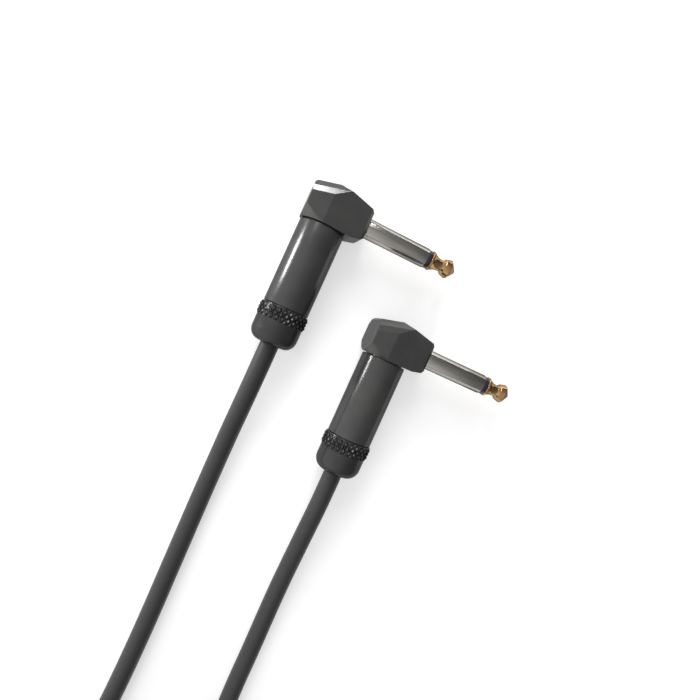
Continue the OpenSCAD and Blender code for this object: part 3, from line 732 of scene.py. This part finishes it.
def cordRoute():
    straight = Vector((0, -cord["diameter"], 0))
    exits = []
    strippedEnds = []
    for side in sides:
        low, high = span(f"cord_tail_{side}")
        exits.append(Vector(((low.x + high.x) / 2, low.y, (low.z + high.z) / 2)))
        strippedEnds.append(Vector((exits[-1].x, high.y, exits[-1].z)))
    turns = cord["wholeTurns"] + ((cord["endAngle"] - cord["startAngle"]) % 360) / 360
    count = round(turns * cord["pointsPerTurn"])
    coil = [coilPoint(turns * i / count, turns) for i in range(count + 1)]
    inward = (coil[1] - coil[0]).normalized() * cord["diameter"]
    outward = (coil[-1] - coil[-2]).normalized() * cord["diameter"]
    inward.z = outward.z = 0
    route = [strippedEnds[0], exits[0], exits[0] + straight] + [Vector(p) for p in firstRun]
    route += [coil[0] - 2 * inward, coil[0] - inward] + coil
    route += [coil[-1] + outward, coil[-1] + 2 * outward]
    route += [Vector(p) for p in reversed(secondRun)] + [exits[1] + straight, exits[1], strippedEnds[1]]
    return [p * mm for p in route]


def layCord():
    route = cordRoute()
    curve = bpy.data.curves.new("cord", "CURVE")
    curve.dimensions = "3D"
    curve.bevel_depth = cord["diameter"] / 2 * mm
    curve.bevel_resolution = cord["profileSteps"]
    curve.resolution_u = cord["spanSteps"]
    curve.use_fill_caps = True
    spline = curve.splines.new("BEZIER")
    spline.bezier_points.add(len(route) - 1)
    for knot, spot in zip(spline.bezier_points, route):
        knot.co = spot
        knot.handle_left_type = knot.handle_right_type = "AUTO"
    piece = bpy.data.objects.new("cord", curve)
    bpy.context.scene.collection.objects.link(piece)
    wear(piece, "jacket")
    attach(piece, "cable")
    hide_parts("cord_tail_a", "cord_run_a", "cord_coil", "cord_run_b", "cord_tail_b")
    return piece, route


cordPiece, cordLine = layCord()
print("cord laid")


# Tie: woven tape round the bundle, its free end stitched down over the start

tie = {
    "width": 16.0, "thickness": 0.8, "corner": 3.5, "overlap": 24.0,    # mm
    "cornerSteps": 6,
    "clearance": 0.05,             # inside the solid's outline and under the free end
    "stepUp": 3.0,                 # in which the free end climbs on to the start
    "softening": 0.2, "sharperThan": 50,
}


def makeTie():
    low, high = span("coil_tie")
    half = tie["thickness"] / 2 + tie["clearance"]
    near, far = high.y - half, low.y + half
    bottom, top = low.z + half, high.z - half
    r = tie["corner"]
    left = (low.x + high.x - tie["width"]) / 2
    spots = [Vector((left, (near + far) / 2 + tie["overlap"] / 2, top))]
    for y, z, start in ((far + r, top - r, 90), (far + r, bottom + r, 180),
                        (near - r, bottom + r, 270), (near - r, top - r, 360)):
        for i in range(tie["cornerSteps"] + 1):
            angle = math.radians(start + 90 * i / tie["cornerSteps"])
            spots.append(Vector((left, y + r * math.cos(angle), z + r * math.sin(angle))))
    # the free end steps up on to the start and lies along it
    lapStart = (near + far) / 2 + tie["overlap"] / 2 + tie["stepUp"]
    lapEnd = (near + far) / 2 - tie["overlap"] / 2
    raised = top + tie["thickness"] + tie["clearance"]
    spots += [Vector((left, lapStart, top)), Vector((left, lapStart - tie["stepUp"], raised)),
              Vector((left, lapEnd, raised))]
    band = startOutline("coilTie", spots)
    bpy.ops.mesh.extrude_region_move(TRANSFORM_OT_translate={"value": (tie["width"], 0, 0)})
    bpy.ops.mesh.select_all(action="SELECT")
    bpy.ops.mesh.normals_make_consistent(inside=False)
    bpy.ops.object.mode_set(mode="OBJECT")
    tape = band.modifiers.new("tape", "SOLIDIFY")
    tape.thickness = tie["thickness"]
    tape.offset = 0
    bpy.ops.object.modifier_apply(modifier=tape.name)
    softenEdges(band, tie["softening"], tie["sharperThan"])
    band.data.transform(Matrix.Scale(mm, 4))
    wear(band, "tie")
    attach(band, "cable")
    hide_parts("coil_tie")
    return band


tiePiece = makeTie()
print("coil tied")


# Floor and light

floor = {
    "width": 6000, "level": -0.1,     # mm, just under the cord's lowest point
    "colour": "#e4e4e4",
    "glow": 0.5,                      # added where it is seen or mirrored, and not to its light
}


def layFloor():
    bpy.ops.object.select_all(action="DESELECT")
    bpy.ops.mesh.primitive_plane_add(size=floor["width"] * mm, location=(0, 0, floor["level"] * mm))
    ground = bpy.context.object
    ground.name = "floor"
    m = newMaterial("paleFloor")
    path = addNode(m, "ShaderNodeLightPath")
    seen = addNode(m, "ShaderNodeMath", {"operation": "ADD"},
                   {0: path.outputs["Is Camera Ray"], 1: path.outputs["Is Glossy Ray"]})
    seen = addNode(m, "ShaderNodeMath", {"operation": "ADD", "use_clamp": True},
                   {0: seen.outputs["Value"], 1: path.outputs["Is Transmission Ray"]})
    strength = addNode(m, "ShaderNodeMath", {"operation": "MULTIPLY", 1: floor["glow"]},
                       {0: seen.outputs["Value"]})
    paper = addNode(m, "ShaderNodeBsdfDiffuse", {"Color": linear(floor["colour"])})
    glow = addNode(m, "ShaderNodeEmission", {}, {"Strength": strength.outputs["Value"]})
    both = addNode(m, "ShaderNodeAddShader", {},
                   {0: paper.outputs["BSDF"], 1: glow.outputs["Emission"]})
    addNode(m, "ShaderNodeOutputMaterial", {}, {"Surface": both.outputs["Shader"]})
    ground.data.materials.append(m)


lamps = {
    # name: place and aim in mm, width and height in mm, power in watts
    "keySoftbox": {"place": (-283, 398, 339), "aim": (-20, 0, 0), "size": (300, 300), "power": 1.6},
    "lowLeftStrip": {"place": (-480, 76, 48), "aim": (-20, 76, 10), "size": (128, 90), "power": 1.24},
    "lowBackStrip": {"place": (130, 480, 50), "aim": (10, 20, 10), "size": (300, 50), "power": 0.15},
    "bevelStrip": {"place": (-150, 480, 190), "aim": (-35, 40, 10), "size": (100, 130), "power": 1.0},
}


def hangLamps():
    for name, lamp in lamps.items():
        data = bpy.data.lights.new(name, "AREA")
        data.shape = "RECTANGLE"
        data.size, data.size_y = [v * mm for v in lamp["size"]]
        data.energy = lamp["power"]
        box = bpy.data.objects.new(name, data)
        place = Vector(lamp["place"]) * mm
        box.location = place
        box.rotation_euler = (Vector(lamp["aim"]) * mm - place).to_track_quat("-Z", "Y").to_euler()
        bpy.context.scene.collection.objects.link(box)


studio = {
    "left": 0.75, "right": 0.18,      # strength of the walls
    "sideReach": 0.7,                 # how far to each side the strength still changes, of 1
    "front": 1.65, "back": 0.45,      # factors on that strength
}


def paintWorld():
    # a grey studio, brighter on the left than on the right and brighter in front than behind
    world = bpy.data.worlds.new("studio")
    world.use_nodes = True
    world.node_tree.nodes.clear()
    way = addNode(world, "ShaderNodeTexCoord").outputs["Generated"]
    apart = addNode(world, "ShaderNodeSeparateXYZ", {}, {"Vector": way})
    wall = addNode(world, "ShaderNodeMapRange",
                   {"From Min": -studio["sideReach"], "From Max": studio["sideReach"],
                    "To Min": studio["left"], "To Max": studio["right"]}, {"Value": apart.outputs["X"]})
    front = addNode(world, "ShaderNodeMapRange",
                    {"From Min": -1.0, "From Max": 1.0,
                     "To Min": studio["front"], "To Max": studio["back"]}, {"Value": apart.outputs["Y"]})
    around = addNode(world, "ShaderNodeMath", {"operation": "MULTIPLY"},
                     {0: wall.outputs["Result"], 1: front.outputs["Result"]})
    path = addNode(world, "ShaderNodeLightPath")
    strength = addNode(world, "ShaderNodeMix", {"data_type": "FLOAT", 3: 1.0},
                       {0: path.outputs["Is Camera Ray"], 2: around.outputs["Value"]})
    sky = addNode(world, "ShaderNodeBackground", {"Color": (1, 1, 1, 1)},
                  {"Strength": strength.outputs[0]})
    addNode(world, "ShaderNodeOutputWorld", {}, {"Surface": sky.outputs["Background"]})
    bpy.context.scene.world = world


layFloor()
hangLamps()
paintWorld()
print("floor and lamps ready")

# What stays inside keeps its solid and gets its finish
slotOf = {row["node"]: row["material_slot"] for row in frame["record"]["subparts"]}
for name, node in frame["nodes"].items():
    if not node.hide_render:
        for holder in node.material_slots:
            holder.link = "OBJECT"
            holder.material = finish[slotOf[name]]
